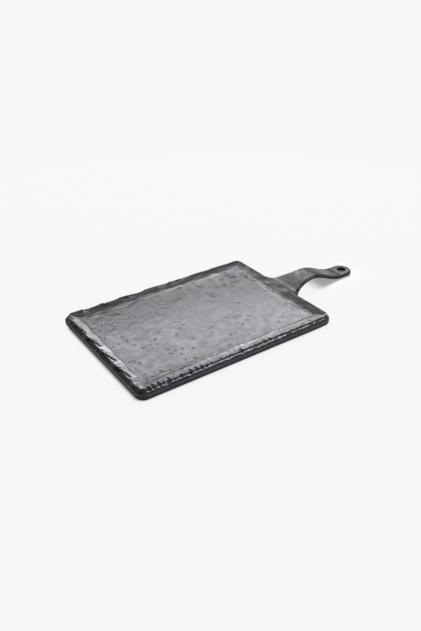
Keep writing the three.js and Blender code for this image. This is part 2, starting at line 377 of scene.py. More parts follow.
# Painted shade: the colour is darker inside each pit.
grain_tint_and_pit_shade = calc(melamine_grain, "MULTIPLY_ADD", pit_mask, -0.5, grain_tint_and_pit_shade, clamp=True)
gloss = calc(melamine_grain, "MULTIPLY_ADD", specks, 0.15, calc(melamine_grain, "MULTIPLY", clouds, 0.85))
speck_height = calc(melamine_grain, "MULTIPLY", specks, 0.05)
height = calc(melamine_grain, "MULTIPLY_ADD", pit_mask, -1.0, speck_height)
for label, value in (("Tint", grain_tint_and_pit_shade), ("Gloss", gloss), ("Height", height), ("Fleck", pit_mask)):
    fill(melamine_grain, grain_out[label], value)
print("melamine_grain:", len(melamine_grain.nodes), "nodes")

# %% Melamine materials for the tray and its base
# Painted shade: where the slate is dull, its colour is pulled towards this charcoal, by up to this share.
painted_shade_charcoal, painted_shade_share = (0.010, 0.010, 0.011, 1), 0.75


def attribute(tree, label):
    """A value that is stored on the piece's points, or 0 on a piece without it."""
    return node(tree, "ShaderNodeAttribute", attribute_name=label).outputs["Fac"]


def grained_material(name, dark, pale, satin, relief, index, painted_reflection_tint, grain):
    """A Principled material whose colour, gloss and fine relief all follow the melamine grain."""
    material = bpy.data.materials.new(name)
    material.use_nodes = True
    tree = material.node_tree
    shader = tree.nodes["Principled BSDF"]
    pattern = node(tree, "ShaderNodeGroup", grain, node_tree=melamine_grain).outputs
    dull_and_shaded = attribute(tree, "dull_and_shaded")
    pit_strength = ramp(tree, attribute(tree, "uneven"), 0.3, 0.8, 0.3, 1.0)
    colour = mix(tree, pattern["Tint"], dark, pale)
    # Painted shade: the dull far and right slopes and the handle are darkened in colour.
    colour = mix(tree, calc(tree, "MULTIPLY", dull_and_shaded, painted_shade_share), colour, painted_shade_charcoal)
    polish = ramp(tree, pattern["Gloss"], 0.3, 0.7, *satin)
    pit_polish = calc(tree, "MULTIPLY", pattern["Fleck"], pit_strength)
    polish = calc(tree, "MULTIPLY_ADD", pit_polish, 0.2, polish)
    patchy = ramp(tree, pattern["Gloss"], 0.38, 0.62, 0.14, 0.30)
    bump_strength = calc(tree, "MULTIPLY", pit_strength, 0.5)
    bump = node(tree, "ShaderNodeBump", {
        "Height": pattern["Height"], "Strength": bump_strength, "Distance": relief,
    })
    fill(tree, shader.inputs["Base Color"], colour)
    fill(tree, shader.inputs["Roughness"], calc(tree, "MULTIPLY_ADD", dull_and_shaded, patchy, polish))
    fill(tree, shader.inputs["Normal"], bump.outputs["Normal"])
    shader.inputs["IOR"].default_value = index
    # Painted reflection colour: the specular tint gives each melamine's reflections a bluish cast.
    shader.inputs["Specular Tint"].default_value = painted_reflection_tint
    return material


slate_melamine = grained_material(
    "slate_melamine", dark=(0.029, 0.029, 0.0318, 1), pale=(0.042, 0.042, 0.0455, 1), satin=(0.14, 0.25),
    relief=0.00022, index=1.45, painted_reflection_tint=(0.89, 0.87, 1.0, 1),
    grain={"Cloud size": 0.009, "Speck size": 0.0016, "Pit spacing": 0.0092, "Pit share": 0.6},
)
# The base's blue cast, in its colour and its specular tint, is a painted reflection of bluish light; its
# near-black is the resin's own.
base_melamine = grained_material(
    "base_melamine", dark=(0.015, 0.0172, 0.0225, 1), pale=(0.023, 0.026, 0.033, 1), satin=(0.30, 0.42),
    relief=0.00010, index=1.42, painted_reflection_tint=(0.70, 0.76, 0.95, 1),
    grain={"Cloud size": 0.03, "Speck size": 0.0009, "Pit spacing": 0.004, "Pit share": 0.1},
)
print("melamine materials:", slate_melamine.name, base_melamine.name)

# %% [markdown]
# Silicone
#
# Silicone feet are dull and a little dusty: they pick up pale lint from the table. The material is nearly
# black, with no sharp reflection. Soft noise lifts it towards grey where the lint sits.

# %% Silicone material for the feet
silicone = bpy.data.materials.new("dusty_silicone")
silicone.use_nodes = True
rubber = silicone.node_tree
rubber_shader = rubber.nodes["Principled BSDF"]
lint = ramp(rubber, noise(rubber, 0.0035, 5.0, 0.65), 0.45, 0.75)
rubber_colour = mix(rubber, lint, (0.013, 0.013, 0.014, 1), (0.036, 0.035, 0.034, 1))
rubber_bump = node(rubber, "ShaderNodeBump", {
    "Height": noise(rubber, 0.0007, 2.0), "Strength": 0.4, "Distance": 0.0001,
})
fill(rubber, rubber_shader.inputs["Base Color"], rubber_colour)
fill(rubber, rubber_shader.inputs["Roughness"], ramp(rubber, lint, 0.0, 1.0, 0.62, 0.86))
fill(rubber, rubber_shader.inputs["Normal"], rubber_bump.outputs["Normal"])
print("silicone:", len(rubber.nodes), "nodes")

# %% [markdown]
# The plan of the tray
#
# Seen from above, the tray is a rectangle with rounded corners whose right end flows out into the handle.
# It could be drawn as a Bezier curve, but every later step needs exact distances from this edge, so the
# outline is a list of points, one each millimetre or so. The frame gives the ends, and the drawing gives
# the rest.

# %% Plan sizes
base_low, base_high = (1000 * np.array(corner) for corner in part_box("base_moulding"))
tray_high = 1000 * np.array(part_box("upper_moulding")[1])
far_wall, end_wall, half_width = base_low[0], base_high[0], base_high[1]
corner_radius = 11.0
grip_half, flare_width, flare_length = 14.6, 23.4, 48.0
tip_radius, tip_taper = 14.8, 40.0
handle_reach = tray_high[0] - end_wall
tip_centre = handle_reach - tip_radius


def smooth(value):
    """0 below 0, 1 above 1, and an easy curve between."""
    value = np.clip(value, 0, 1)
    return value * value * (3 - 2 * value)


def handle_half(reach):
    """Half the handle's width at a distance from the end wall."""
    spread = 1 - np.sqrt(1 - np.clip(1 - reach / flare_length, 0, 1) ** 2)
    swell = smooth((reach - tip_centre + tip_taper) / tip_taper)
    return grip_half + flare_width * spread + (tip_radius - grip_half) * swell


print("board in mm:", round(float(end_wall - far_wall), 1), "by", round(float(2 * half_width), 1))


# %% Plan outlines
def arc(centre_x, centre_y, radius, start, stop):
    """Points along part of a circle, from one angle to another in degrees."""
    angles = np.radians(np.linspace(start, stop, 120))
    return np.column_stack((centre_x + radius * np.cos(angles), centre_y + radius * np.sin(angles)))


def even_loop(half, spacing):
    """Mirrors half an outline, and spreads points evenly along the whole of it, anticlockwise.

    Gives the points, the direction inwards at each, and how far along the outline each is."""
    loop = np.vstack((half, (half * (1, -1))[::-1]))
    ring = np.vstack((loop, loop[:1]))
    run = np.concatenate(([0], np.cumsum(np.linalg.norm(np.diff(ring, axis=0), axis=1))))
    stops = np.linspace(0, run[-1], int(round(run[-1] / spacing)), endpoint=False)
    points = np.column_stack([np.interp(stops, run, ring[:, axis]) for axis in (0, 1)])
    ahead = np.roll(points, -1, axis=0) - np.roll(points, 1, axis=0)
    ahead /= np.linalg.norm(ahead, axis=1)[:, None]
    return points, np.column_stack((-ahead[:, 1], ahead[:, 0])), stops


bend = np.linspace(0, math.pi / 2, 120)
grip_reach = np.linspace(tip_centre, flare_length, 160)
corners_half = np.vstack((
    arc(end_wall - corner_radius, half_width - corner_radius, corner_radius, 0, 90),
    arc(far_wall + corner_radius, half_width - corner_radius, corner_radius, 90, 180),
    [(far_wall, 0)],
))
board_half = np.vstack(([(end_wall, 0)], corners_half))
tray_half = np.vstack((
    arc(end_wall + tip_centre, 0, tip_radius, 0, 90),
    np.column_stack((end_wall + grip_reach, handle_half(grip_reach))),
    np.column_stack((
        end_wall + flare_length * (1 - np.sin(bend)),
        grip_half + flare_width * (1 - np.cos(bend)),
    )),
    corners_half,
))
tray_edge, tray_inward, _ = even_loop(tray_half, 0.8)
board_edge, board_inward, board_run = even_loop(board_half, 1.0)
print("outline points:", len(tray_edge), "round the tray,", len(board_edge), "round the board")

# %% [markdown]
# Heights of the tray
#
# Across the rim the tray rises over a rounded edge to a crest, then falls in a hollow slope to the serving
# face: steep at the crest, easy at an uneven foot. The left slope is narrower and nearly straight. The
# handle starts a little below the crest, arches up so that fingers fit under it, and comes down to a flat
# tip with a hole. Both are plain functions of the place in plan, so the top and the underside are two
# height maps, and rim and handle can be blended softly where they meet.

# %% Rim and handle sizes
board_middle = (end_wall + far_wall) / 2
half_length = (end_wall - far_wall) / 2
crest_height, face_height = 16.3, 13.5
crest_inset, slope_width, slope_hollow = 4.2, 14.0, 1.6
left_narrower, left_straighter = 2.6, 0.55
joint_height, hollow_top = 8.95, 10.0
crown_reach, dip_reach = 46.0, 105.0
root_thickness, tip_thickness, handle_edge = 6.5, 4.9, 2.3
root_half, root_fade = 33, 10
# Reach, height and slope at the root, the crown, the dip and the tip of the handle.
arch_knots = [
    (0.0, 13.9, 0.2), (crown_reach, 21.8, 0.0), (dip_reach, 5.51, 0.0), (handle_reach, 5.71, 0.0),
]


def board_inset(x, y):
    """How far a place is in from the board's edge, with round corners and mitred insides."""
    from_end = half_length - np.abs(x - board_middle)
    from_side = half_width - np.abs(y)
    rounded = corner_radius - np.hypot(corner_radius - from_end, corner_radius - from_side)
    in_corner = (from_end < corner_radius) & (from_side < corner_radius)
    return np.where(in_corner, rounded, np.minimum(from_end, from_side))


def arch(reach):
    """Height and slope of the handle's top along its length, in three smooth arcs."""
    height = arch_knots[0][1] + arch_knots[0][2] * np.minimum(reach, 0)
    slope = np.full_like(height, arch_knots[0][2])
    for (start, low, rise), (stop, high, fall) in zip(arch_knots, arch_knots[1:]):
        span = stop - start
        t = np.clip((reach - start) / span, 0, 1)
        here = reach > start
        value = (
            (2 * t**3 - 3 * t**2 + 1) * low + (t**3 - 2 * t**2 + t) * span * rise
            + (3 * t**2 - 2 * t**3) * high + (t**3 - t**2) * span * fall
        )
        tilt = (
            (6 * t**2 - 6 * t) * (low - high) / span
            + (3 * t**2 - 4 * t + 1) * rise + (3 * t**2 - 2 * t) * fall
        )
        height = np.where(here, value, height)
        slope = np.where(here, tilt, slope)
    return height, slope


print("arch top in mm:", round(float(arch(np.array([crown_reach]))[0][0]), 2))


# %% Height maps
def within_root(y):
    """1 across the handle's root and 0 along the rest of the end wall."""
    return 1 - smooth((np.abs(y) - root_half) / root_fade)


def top_level(x, y):
    """Height of the tray's top: rim, slope, face and handle."""
    end_gap, side_gap = half_length - np.abs(x - board_middle), half_width - np.abs(y)
    left_end = smooth((side_gap - end_gap) / 8) * (x < board_middle)
    uneven_foot = 0.4 * np.sin((x + 1.7 * y) / 9.0) + 0.3 * np.sin((1.3 * x - y) / 5.1)
    width_here = slope_width - left_narrower * left_end + uneven_foot
    way_in = np.clip((board_inset(x, y) - crest_inset) / width_here, 0, 1)
    down = 1 - (1 - way_in) ** (slope_hollow - left_straighter * left_end)
    rim = crest_height - (crest_height - face_height) * down
    reach = x - end_wall
    return rim + (arch(reach)[0] - rim) * smooth((reach + 8) / 17) * within_root(y)


def under_level(x, y):
    """Height of the tray's lower side: the joint with the base, and the handle's underside."""
    reach = x - end_wall
    top, slope = arch(reach)
    thickness = root_thickness + (tip_thickness - root_thickness) * np.clip(reach / handle_reach, 0, 1)
    under = top - thickness * np.sqrt(1 + slope**2)
    return joint_height + (under - joint_height) * smooth((reach + 1) / 6) * within_root(y)


middle_level = top_level(np.array([board_middle]), np.array([0.0]))[0]
print("serving face in mm:", round(float(middle_level), 2))

# %% [markdown]
# The tray blank
#
# The blank is the tray before it gets its slate relief. Rows of points follow the outline: over the
# rounded edge, down the wall and round the lower edge. Inside the innermost row the top is filled with a
# millimetre grid by Blender's Delaunay fill, fine enough to carve into. The underside has the hollow that
# the base's ribs stand in. All points go into one closed mesh, so that the relief can't open a seam.

# %% Rows round the edge
def tray_row(inset, level, drop):
    """One row of points, moved in from the tray's outline and set on a height map, less a drop."""
    place = tray_edge + tray_inward * np.reshape(inset, (-1, 1))
    return np.column_stack((place, level(place[:, 0], place[:, 1]) - drop))


# Inset from the outline and drop below the crest: a chipped rise, a bevel, a leaning wall.
shoulder = np.array([
    (crest_inset, 0), (3.6, 0.4), (3.2, 1.1), (3.0, 1.8), (2.1, 2.75), (1.2, 3.7), (0.5, 4.95), (0, 6.0),
])
quarter = np.radians(np.linspace(90, 0, len(shoulder)))
rounding = handle_edge * np.column_stack((1 - np.cos(quarter), 1 - np.sin(quarter)))
onto_handle = smooth((tray_edge[:, 0] - end_wall - 1) / 18)
edge_in = crest_inset + (handle_edge - crest_inset) * onto_handle
joint_edge = 0.25
lower_edge = joint_edge + (handle_edge - joint_edge) * onto_handle
slope_steps = np.array([4.6, 3.5, 2.5, 1.6, 0.8])
step_share = 1 - 0.5 * onto_handle
tray_rows = [tray_row(edge_in + step * step_share, top_level, 0) for step in slope_steps]
for (inset, drop), (round_inset, round_drop) in zip(shoulder, rounding):
    inset_here = inset + (round_inset - inset) * onto_handle
    drop_here = drop + (round_drop - drop) * onto_handle
    tray_rows.append(tray_row(inset_here, top_level, drop_here))
wall_top = tray_rows[-1]
under_rows = []
for turn in np.radians(np.linspace(0, 90, 5)):
    lift = lower_edge * (1 - math.sin(turn))
    under_rows.append(tray_row(lower_edge * (1 - math.cos(turn)), under_level, -lift))
tray_rows += [wall_top * (1 - share) + under_rows[0] * share for share in (0.33, 0.67)]
tray_rows += under_rows
print("rows:", len(tray_rows), "of", len(tray_edge), "points")


# %% Mesh list and Delaunay fill
class Blank:
    """Collects points and faces for one mesh, in millimetres."""

    def __init__(self):
        self.points, self.faces, self.count = [], [], 0

    def add(self, points):
        """Adds points, and gives back their numbers."""
        self.points.append(np.asarray(points, float))
        start = self.count
        self.count += len(points)
        return np.arange(start, self.count)

    def ring(self, plan, height):
        """Adds a row of points at one height."""
        return self.add(np.column_stack((plan, np.full(len(plan), height))))

    def sweep(self, rings):
        """Joins each closed row to the next with quads."""
        for first, second in zip(rings, rings[1:]):
            after_first, after_second = np.roll(first, -1), np.roll(second, -1)
            self.faces += np.column_stack((first, second, after_second, after_first)).tolist()

    def fill(self, loops, loose, level, skip=None):
        """Fills the area inside the first loop with triangles through loose points, minus what skip says."""
        numbers = np.concatenate(loops)
        plan = np.vstack((np.vstack(self.points)[numbers][:, :2], loose))
        own = np.concatenate((numbers, self.add(np.column_stack((loose, level(*loose.T))))))
        ties, start = [], 0
        for loop in loops:
            ties += [(start + i, start + (i + 1) % len(loop)) for i in range(len(loop))]
            start += len(loop)
        spots, _, triples, source, _, _ = delaunay_2d_cdt([Vector(p) for p in plan], ties, [], 1, 1e-7)
        triples = np.array(triples)
        if skip is not None:
            middles = np.array([tuple(spot) for spot in spots])[triples].mean(axis=1)
            triples = triples[~skip(middles[:, 0], middles[:, 1])]
        owner = own[np.array([origin[0] for origin in source])]
        self.faces += owner[triples].tolist()

    def mesh(self, name):
        """Makes the mesh in metres, with all faces pointing outwards."""
        made = bpy.data.meshes.new(name)
        made.from_pydata((np.vstack(self.points) * 0.001).tolist(), [], self.faces)
        shell = bmesh.new()
        shell.from_mesh(made)
        bmesh.ops.recalc_face_normals(shell, faces=shell.faces)
        shell.to_mesh(made)
        shell.free()
        made.shade_smooth()
        return made


def circle(centre, radius, count):
    """Points round a circle."""
    turn = np.linspace(0, 2 * math.pi, count, endpoint=False)
    return np.column_stack((centre[0] + radius * np.cos(turn), centre[1] + radius * np.sin(turn)))


def flat(height):
    """A height map that is the same all over."""
    return lambda x, y: np.full_like(x, height)


print("mesh helpers ready")

# %% Tray blank: edge and hanging hole
hole_centre = (end_wall + handle_reach - 13.6, 0.0)
hole_radius, hole_round, hole_border, hole_sides = 6.0, 0.9, 0.7, 56
hole_rim = hole_radius + hole_round + hole_border
blank = Blank()
edge_rings = [blank.add(points) for points in tray_rows]
blank.sweep(edge_rings)

# Turn of the rounded rim in degrees and extra radius, from the outside of the hole to its wall.
hole_steps = [(90, hole_border), (90, 0.0), (60, 0.0), (30, 0.0), (0, 0.0)]
hole_rings = []
for level, sign, steps in ((top_level, 1, hole_steps), (under_level, -1, hole_steps[::-1])):
    for degrees, border in steps:
        turn = math.radians(degrees)
        plan = circle(hole_centre, hole_radius + hole_round * (1 - math.cos(turn)) + border, hole_sides)
        heights = level(plan[:, 0], plan[:, 1]) - sign * hole_round * (1 - math.sin(turn))
        hole_rings.append(blank.add(np.column_stack((plan, heights))))
blank.sweep(hole_rings)
print("edge and hole:", blank.count, "points")

# %% Tray blank: millimetre grid on top
foot_line = crest_inset + slope_width
face_columns, face_rows, rim_steps = 226, 150, 12
face_x = np.linspace(far_wall + foot_line, end_wall - foot_line, face_columns)
face_y = np.linspace(-half_width + foot_line, half_width - foot_line, face_rows)
step_x, step_y = face_x[1] - face_x[0], face_y[1] - face_y[0]
columns_to_tip = int((tray_high[0] - face_x[0]) / step_x) + 1
grid_x = face_x[0] + step_x * np.arange(-rim_steps, columns_to_tip)
grid_y = face_y[0] + step_y * np.arange(-rim_steps, face_rows + rim_steps)
grid = np.array(np.meshgrid(grid_x, grid_y)).reshape(2, -1).T
in_handle = (grid[:, 0] > end_wall - 8) & (np.abs(grid[:, 1]) < handle_half(grid[:, 0] - end_wall))
in_handle &= grid[:, 0] < end_wall + tip_centre
in_tip = np.hypot(grid[:, 0] - end_wall - tip_centre, grid[:, 1]) < tip_radius
grid = grid[(board_inset(grid[:, 0], grid[:, 1]) > 0) | in_handle | in_tip]


def nearest(edge, places):
    """For each place the number of the nearest outline point, and how far off it is."""
    tree = KDTree(len(edge))
    for number, (x, y) in enumerate(edge):
        tree.insert((x, y, 0), number)
    tree.balance()
    found = [tree.find((x, y, 0)) for x, y in places]
    return np.array([hit[1] for hit in found]), np.array([hit[2] for hit in found])


def in_hole(x, y):
    """Whether a place is inside the hole's outermost ring."""
    return np.hypot(x - hole_centre[0], y - hole_centre[1]) < hole_rim - 0.1


closest, edge_gap = nearest(tray_edge, grid)
first_inset = edge_in + slope_steps[0] * step_share
clear_of_edge = edge_gap > first_inset[closest] + 0.7
clear_of_hole = np.hypot(*(grid - hole_centre).T) > hole_rim + 0.6
grid = grid[clear_of_edge & clear_of_hole]
blank.fill([edge_rings[0], hole_rings[0]], grid, top_level, in_hole)
top_points = blank.count
print("top grid:", len(grid), "points")

# %% Tray blank: underside and hollow
hollow_inset = 4.0
hollow_plan = board_edge[::3] + hollow_inset * board_inward[::3]
hollow_low = blank.ring(hollow_plan, joint_height)
hollow_high = blank.ring(hollow_plan, hollow_top)
blank.sweep([hollow_low, hollow_high])
under_grid = grid[(grid[:, 0] > end_wall + 1) & (np.arange(len(grid)) % 2 == 0)]


def in_hollow_or_hole(x, y):
    """Whether a place on the underside is open."""
    return (board_inset(x, y) > hollow_inset - 0.1) | in_hole(x, y)


blank.fill([edge_rings[-1], hollow_low, hole_rings[-1]], under_grid, under_level, in_hollow_or_hole)
ceiling_grid = np.array(np.meshgrid(face_x[::8], face_y[::8])).reshape(2, -1).T
blank.fill([hollow_high], ceiling_grid, flat(hollow_top))
print("tray blank:", blank.count, "points,", len(blank.faces), "faces")

# %% [markdown]
# Where the slate is rough
#
# The board copies a split slate: its edge is chipped most at the front left, and runs out smooth towards
# the handle. Each point of the blank is told where it is and what the slate does there: how far across and
# along the rim it is, how much the rim is chipped, hooked, notched and plated, how uneven the face is, and
# how dull the polish, which also sets how much shade is painted on the far and right slopes and the handle.
# These eight values could be painted by hand as weights. Here they are worked out from the plan and stored
# as attributes, which both Geometry Nodes and materials can read.

# %% Places across and along the rim
places = np.vstack(blank.points)
across_rim = board_inset(places[:, 0], places[:, 1]) - crest_inset
fall = np.concatenate(([0], np.cumsum(np.linalg.norm(np.diff(shoulder, axis=0), axis=1))))
shoulder_rings = edge_rings[len(slope_steps):len(slope_steps) + len(shoulder)]
for ring, way in zip(shoulder_rings, fall):
    across_rim[ring] = -way
for ring in edge_rings[len(slope_steps) + len(shoulder):]:
    across_rim[ring] = -fall[-1] - 2.0
near, _ = nearest(board_edge, places[:, :2])
inward = board_inward[near]
ahead = np.column_stack((inward[:, 1], -inward[:, 0]))
along_rim = board_run[near] + np.einsum("ij,ij->i", places[:, :2] - board_edge[near], ahead)
from_corner = np.hypot(places[:, 0] - far_wall, places[:, 1] + half_width)
reach_along = places[:, 0] - end_wall
on_handle = smooth((reach_along + 3) / 10) * within_root(places[:, 1])
on_handle = np.where(reach_along > 1, 1.0, on_handle)
below = np.arange(len(places)) >= top_points
for ring in edge_rings[-len(under_rows):]:
    below[ring] = True
print("rim in mm:", round(float(along_rim.max())), "long, points on the handle:", int((on_handle == 1).sum()))

# %% How rough the slate is at each place
left_side, near_side = np.clip(inward[:, 0], 0, 1) ** 2, np.clip(inward[:, 1], 0, 1) ** 2
right_side, far_side = np.clip(-inward[:, 0], 0, 1) ** 2, np.clip(-inward[:, 1], 0, 1) ** 2
leftness = 1 - smooth((places[:, 0] - far_wall - 60) / 190)
off_handle = 1 - on_handle
chipped = (1 - smooth((from_corner - 130) / 200)) * off_handle
hooked = (left_side + far_side * (0.15 + 0.55 * leftness)) * off_handle
notched = (near_side * (0.35 + 0.65 * leftness) + 0.12 * left_side) * off_handle
plated = (0.9 * right_side + far_side * (0.55 + 0.75 * leftness) + 0.12 * near_side) * off_handle
uneven = (1 - 0.9 * on_handle) * np.clip(0.35 + 0.65 * smooth((across_rim + 2) / 14), 0, 1)
uneven *= 1 - 0.62 * smooth((from_corner - 110) / 170)
uneven *= 1 + 0.9 * (1 - smooth((from_corner - 22) / 22))
for values in (chipped, hooked, notched, plated):
    values[below] = 0
uneven[below] = 0.05
print("chipped points:", int((chipped > 0.5).sum()), "of", len(places))

# %% How dull the polish is, and how much shade is painted, at each place
# The handle is dull at its root, polished past the crown, and duller again at its tip. The same share paints
# shade into the colour of the far and right slopes and of the handle.
handle_dull_and_shaded = 0.7 - 0.65 * smooth((reach_along - 58) / 16) + 0.5 * smooth((reach_along - 94) / 12)
dull_and_shaded = (right_side + far_side) * (1 - smooth((across_rim - 11) / 6)) * off_handle + handle_dull_and_shaded * on_handle
for ring in edge_rings[len(slope_steps) + 1:]:
    dull_and_shaded[ring] *= 0.2
print("dull points:", int((dull_and_shaded > 0.5).sum()))

# %% Tray with its attributes
tray_mesh = blank.mesh("tray")
for label, values in (
    ("across_rim", 0.001 * across_rim), ("along_rim", 0.001 * along_rim),
    ("chipped", chipped), ("hooked", hooked), ("notched", notched), ("plated", plated),
    ("uneven", uneven), ("dull_and_shaded", dull_and_shaded),
):
    store = tray_mesh.attributes.new(label, "FLOAT", "POINT")
    store.data.foreach_set("value", np.asarray(values, np.float32))
tray = linked("slate_tray", tray_mesh)
print("attributes:", [item.name for item in tray_mesh.attributes if not item.name.startswith(".")])

# %% [markdown]
# Slate relief with Geometry Nodes
#
# A sculptor would knock flakes off the edge one by one. Nodes do it by rule. Along the rim each flake cuts
# further and further in, then breaks off short, like the tooth of a saw. A one-way Voronoi texture sets
# narrow cuts and wide bites across the crest at uneven distances. The slopes get soft plates and a fine
# gutter at their foot, and the face gets slow waves, ripples and scattered dents. The sum moves each point
# along its normal. All depths are named inputs of the tree.

# %% Geometry Nodes helpers
def geometry_tree(name, inputs):
    """A Geometry Nodes tree with a mesh in, a mesh out, named inputs and a material."""
    tree = bpy.data.node_groups.new(name, "GeometryNodeTree")
    tree.interface.new_socket("Geometry", in_out="INPUT", socket_type="NodeSocketGeometry")
    tree.interface.new_socket("Geometry", in_out="OUTPUT", socket_type="NodeSocketGeometry")
    for label, value in inputs.items():
        socket = tree.interface.new_socket(label, in_out="INPUT", socket_type="NodeSocketFloat")
        socket.default_value = value
    tree.interface.new_socket("Material", in_out="INPUT", socket_type="NodeSocketMaterial")
    return tree, node(tree, "NodeGroupInput").outputs


def end_tree(tree, geometry, material):
    """Ends a tree: instances become real, the material goes on, and the mesh goes out."""
    whole = node(tree, "GeometryNodeRealizeInstances", {"Geometry": geometry}).outputs[0]
    dressed = node(tree, "GeometryNodeSetMaterial", {"Geometry": whole, "Material": material}).outputs[0]
    fill(tree, node(tree, "NodeGroupOutput").inputs[0], dressed)


def apply_tree(piece, tree, values, sharp_angle):
    """Runs a tree on a piece with the given inputs, and keeps the result as the piece's plain mesh."""
    modifier = piece.modifiers.new(tree.name, "NODES")
    modifier.node_group = tree
    for item in tree.interface.items_tree:
        if item.item_type == "SOCKET" and item.in_out == "INPUT" and item.name in values:
            modifier[item.identifier] = values[item.name]
    bpy.context.view_layer.update()
    made = bpy.data.meshes.new_from_object(piece.evaluated_get(bpy.context.evaluated_depsgraph_get()))
    made.name = piece.name
    piece.modifiers.remove(modifier)
    piece.data = made
    made.set_sharp_from_angle(angle=math.radians(sharp_angle))
    print(piece.name, "has", sum(len(face.vertices) - 2 for face in made.polygons), "triangles")


print("geometry node helpers ready")

# %% Relief tree: inputs and shares
relief, relief_in = geometry_tree("slate_relief", {
    "Flake depth": 0.0020, "Notch depth": 0.0017, "Bite depth": 0.0010, "Gutter depth": 0.00010,
    "Wave height": 0.00032, "Ripple height": 0.00016, "Pit depth": 0.00022, "Plate step": 0.0017,
    "Seed": 4.0,
})


def stored(label):
    """One of the values stored on the blank's points."""
    reader = node(relief, "GeometryNodeInputNamedAttribute", {"Name": label}, data_type="FLOAT")
    return reader.outputs["Attribute"]


def times(*factors):
    """The product of several numbers or node outputs."""
    result = factors[0]
    for factor in factors[1:]:
        result = calc(relief, "MULTIPLY", result, factor)
    return result


def lots(colour):
    """Splits a random colour into three chance values."""
    return node(relief, "FunctionNodeSeparateColor", {"Color": colour}).outputs[:3]


across, run, seed = stored("across_rim"), stored("along_rim"), relief_in["Seed"]
print("relief inputs:", [socket.name for socket in relief_in if socket.name])


# %% Relief tree: flakes, cuts and bites on the rim
def flakes(depth, pitch, widest, missing, offset):
    """Flakes split off the crest. Each cuts further in along the rim, then breaks off short."""
    stretch = calc(relief, "MULTIPLY_ADD", run, 1 / pitch, offset)
    number = calc(relief, "ADD", calc(relief, "FLOOR", stretch), offset)
    draw = node(relief, "ShaderNodeTexWhiteNoise", {"W": number}, noise_dimensions="1D")
    chance, size, length = lots(draw.outputs["Color"])
    flake_length = calc(relief, "MULTIPLY_ADD", length, 0.35, 0.5)
    gone = calc(relief, "DIVIDE", calc(relief, "FRACT", stretch), flake_length)
    flake_width = calc(relief, "MULTIPLY_ADD", size, 0.6 * widest, 0.5 * widest)
    cut = times(calc(relief, "POWER", gone, 0.8), flake_width)
    riser = calc(relief, "SUBTRACT", calc(relief, "SUBTRACT", cut, 0.0012), across)
    terrace = ramp(relief, riser, 0.0, 0.0008)
    ended = ramp(relief, gone, 0.93, 1.0, 1.0, 0.0)
    thinner = calc(relief, "MULTIPLY_ADD", gone, -0.5, 1.0)
    on_edge = ramp(relief, across, -0.0065, -0.002)
    chosen = calc(relief, "GREATER_THAN", chance, missing)
    return times(terrace, ended, thinner, on_edge, chosen, stored("hooked"), depth)


def notches(depth, share, pitch, half_cut, outer, inner, missing, offset):
    """Narrow cuts straight across the crest."""
    stretch = calc(relief, "MULTIPLY_ADD", run, 1 / pitch, offset)
    cells = node(relief, "ShaderNodeTexVoronoi", {"W": stretch, "Scale": 1.0}, voronoi_dimensions="1D")
    chance, size, length = lots(cells.outputs["Color"])
    wide = calc(relief, "MULTIPLY_ADD", size, half_cut, 0.6 * half_cut)
    off_middle = calc(relief, "DIVIDE", times(cells.outputs["Distance"], pitch), wide)
    groove = calc(relief, "SUBTRACT", 1.0, off_middle, clamp=True)
    stop = calc(relief, "MULTIPLY_ADD", length, inner, 0.4 * inner)
    begun = ramp(relief, across, outer - 0.0012, outer)
    ended = ramp(relief, calc(relief, "SUBTRACT", across, stop), -0.0012, 0.0006, 1.0, 0.0)
    chosen = ramp(relief, chance, missing, 1.0, 0.0, 1.0)
    return times(groove, times(begun, ended), chosen, share, depth)


flake_depth = relief_in["Flake depth"]
big_flakes = flakes(flake_depth, pitch=0.037, widest=0.0075, missing=0.12, offset=3.1)
small_flakes = flakes(times(flake_depth, 0.6), pitch=0.0145, widest=0.0035, missing=0.4, offset=8.7)
cuts = notches(
    relief_in["Notch depth"], stored("notched"),
    pitch=0.0070, half_cut=0.0017, outer=-0.0026, inner=0.0048, missing=0.0, offset=1.7,
)
bites = notches(
    relief_in["Bite depth"], stored("chipped"),
    pitch=0.0105, half_cut=0.0040, outer=-0.0030, inner=0.0030, missing=0.25, offset=5.3,
)
flake_sum = calc(relief, "ADD", big_flakes, small_flakes)
chip_sum = calc(relief, "ADD", flake_sum, calc(relief, "ADD", cuts, bites))
print("chip nodes:", len(relief.nodes))

# %% Relief tree: plates and a gutter on the slope, waves and dents on the face
here = node(relief, "GeometryNodeInputPosition").outputs[0]


def wave(size, detail, stretch=(1, 1, 1)):
    """Noise about zero whose hills are as wide as the given size."""
    made = node(relief, "ShaderNodeTexNoise", {
        "W": seed, "Vector": vector(relief, "MULTIPLY", here, stretch), "Scale": 1 / size, "Detail": detail,
    }, noise_dimensions="4D")
    return calc(relief, "SUBTRACT", made.outputs["Fac"], 0.5)


slow = times(wave(0.036, 2.0), relief_in["Wave height"])
quick = times(wave(0.0075, 3.0, (0.7, 1.2, 1)), relief_in["Ripple height"])

dent_spacing = 0.0085
dent_cells = node(relief, "ShaderNodeTexVoronoi", {
    "Vector": here, "W": seed, "Scale": 1 / dent_spacing,
}, voronoi_dimensions="4D").outputs
dent_shape = ramp(relief, dent_cells["Distance"], 0.05, 0.42, 1.0, 0.0)
dent_pick = ramp(relief, lots(dent_cells["Color"])[0], 0.5, 0.9)
dents = times(dent_shape, dent_pick, relief_in["Pit depth"])

